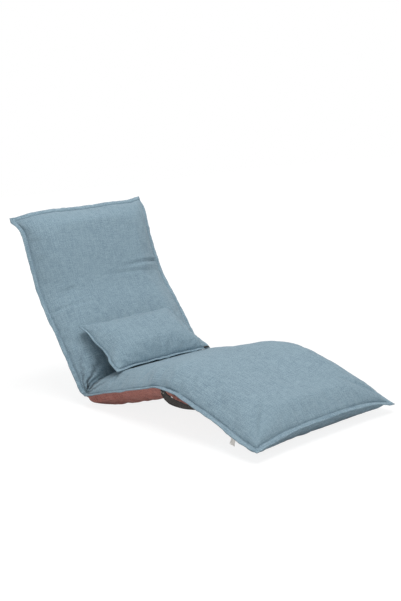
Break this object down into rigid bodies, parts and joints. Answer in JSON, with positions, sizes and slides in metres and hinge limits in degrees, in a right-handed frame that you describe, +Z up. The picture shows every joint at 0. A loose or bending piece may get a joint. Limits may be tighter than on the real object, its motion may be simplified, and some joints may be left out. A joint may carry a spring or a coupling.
{
  "type": "folding floor chair",
  "caption": "Padded folding floor chair with head, back, seat and leg sections on a ratchet-hinged steel frame and a loose lumbar pillow.",
  "frame": {"origin": "middle of the footprint, on the floor", "axes": "+X from the back to the foot end, +Y to the far side, +Z up"},
  "size_m": [1.3587, 0.584, 0.7153],
  "materials": {
    "blue_linen_cloth": "matte",
    "rust_base_cloth": "matte",
    "foam": "matte",
    "black_webbing": "matte",
    "white_label": "matte",
    "zip_tape": "matte",
    "zinc": "satin",
    "painted_steel": "satin"
  },
  "bodies": {
    "seat": {"knee_fork_far": "painted_steel", "knee_fork_near": "painted_steel", "knee_pawl_rivets": "zinc", "knee_pawl_springs": "zinc", "knee_pivot_rivets": "zinc", "seat_base_cover": "rust_base_cloth", "seat_cross_tubes": "painted_steel", "seat_elastic_belts": "black_webbing", "seat_foam": "foam", "seat_rail_far": "painted_steel", "seat_rail_near": "painted_steel", "seat_top_cover": "blue_linen_cloth", "waist_fork_far": "painted_steel", "waist_fork_near": "painted_steel", "waist_pawl_rivets": "zinc", "waist_pawl_springs": "zinc", "waist_pivot_rivets": "zinc", "zip_chain": "zip_tape"},
    "back": {"back_base_cover": "blue_linen_cloth", "back_cross_tubes": "painted_steel", "back_elastic_belts": "black_webbing", "back_foam": "foam", "back_rail_far": "painted_steel", "back_rail_near": "painted_steel", "back_top_cover": "blue_linen_cloth", "neck_fork_far": "painted_steel", "neck_fork_near": "painted_steel", "neck_pawl_rivets": "zinc", "neck_pawl_springs": "zinc", "neck_pivot_rivets": "zinc", "waist_toothed_arm_far": "painted_steel", "waist_toothed_arm_near": "painted_steel"},
    "head": {"head_base_cover": "blue_linen_cloth", "head_elastic_belts": "black_webbing", "head_foam": "foam", "head_hoop": "painted_steel", "head_top_cover": "blue_linen_cloth", "neck_toothed_arm_far": "painted_steel", "neck_toothed_arm_near": "painted_steel"},
    "leg": {"care_label": "white_label", "carry_handle": "black_webbing", "knee_toothed_arm_far": "painted_steel", "knee_toothed_arm_near": "painted_steel", "leg_base_cover": "blue_linen_cloth", "leg_elastic_belts": "black_webbing", "leg_foam": "foam", "leg_hoop": "painted_steel", "leg_top_cover": "blue_linen_cloth"},
    "pillow": {"pillow_filling": "foam", "pillow_front_cover": "blue_linen_cloth", "pillow_rear_cover": "blue_linen_cloth"},
    "neck_pawls": {"neck_pawl_far": "zinc", "neck_pawl_near": "zinc"},
    "waist_pawls": {"waist_pawl_far": "zinc", "waist_pawl_near": "zinc"},
    "knee_pawls": {"knee_pawl_far": "zinc", "knee_pawl_near": "zinc"},
    "zip_slider": {"zip_slider": "zinc"}
  },
  "joints": [
    {"name": "back_recline", "type": "hinge", "parent": "seat", "child": "back", "pos_m": [-0.30447, 0, 0.04439], "axis": [0, 1, 0], "range_deg": [-67.5, 82.5], "deforming": ["seat_top_cover", "seat_base_cover", "seat_foam", "back_top_cover", "back_base_cover", "back_foam", "pillow_front_cover", "pillow_rear_cover", "pillow_filling"]},
    {"name": "head_tilt", "type": "hinge", "parent": "back", "child": "head", "pos_m": [-0.55022, 0, 0.39046], "axis": [0, -1, 0], "range_deg": [-60, 22.5], "deforming": ["head_top_cover", "head_base_cover", "head_foam", "back_top_cover", "back_base_cover", "back_foam"]},
    {"name": "leg_fold", "type": "hinge", "parent": "seat", "child": "leg", "pos_m": [0.22708, 0, 0.15055], "axis": [0, 1, 0], "range_deg": [-30, 120], "deforming": ["seat_top_cover", "seat_base_cover", "seat_foam", "leg_top_cover", "leg_base_cover", "leg_foam", "carry_handle"]},
    {"name": "pillow_lift", "type": "slide", "parent": "back", "child": "pillow", "axis": [0.8121, 0, 0.5835], "range_m": [0, 0.25]},
    {"name": "neck_pawl_turn", "type": "hinge", "parent": "back", "child": "neck_pawls", "pos_m": [-0.5578, 0, 0.36], "axis": [0, -1, 0], "range_deg": [-6.8, 4]},
    {"name": "waist_pawl_turn", "type": "hinge", "parent": "seat", "child": "waist_pawls", "pos_m": [-0.27976, 0, 0.02504], "axis": [0, -1, 0], "range_deg": [-6.8, 4]},
    {"name": "knee_pawl_turn", "type": "hinge", "parent": "seat", "child": "knee_pawls", "pos_m": [0.20236, 0, 0.1699], "axis": [0, -1, 0], "range_deg": [-6.8, 4]},
    {"name": "zip_slide", "type": "slide", "parent": "seat", "child": "zip_slider", "axis": [0, 1, 0], "range_m": [0, 0.16]}
  ]
}
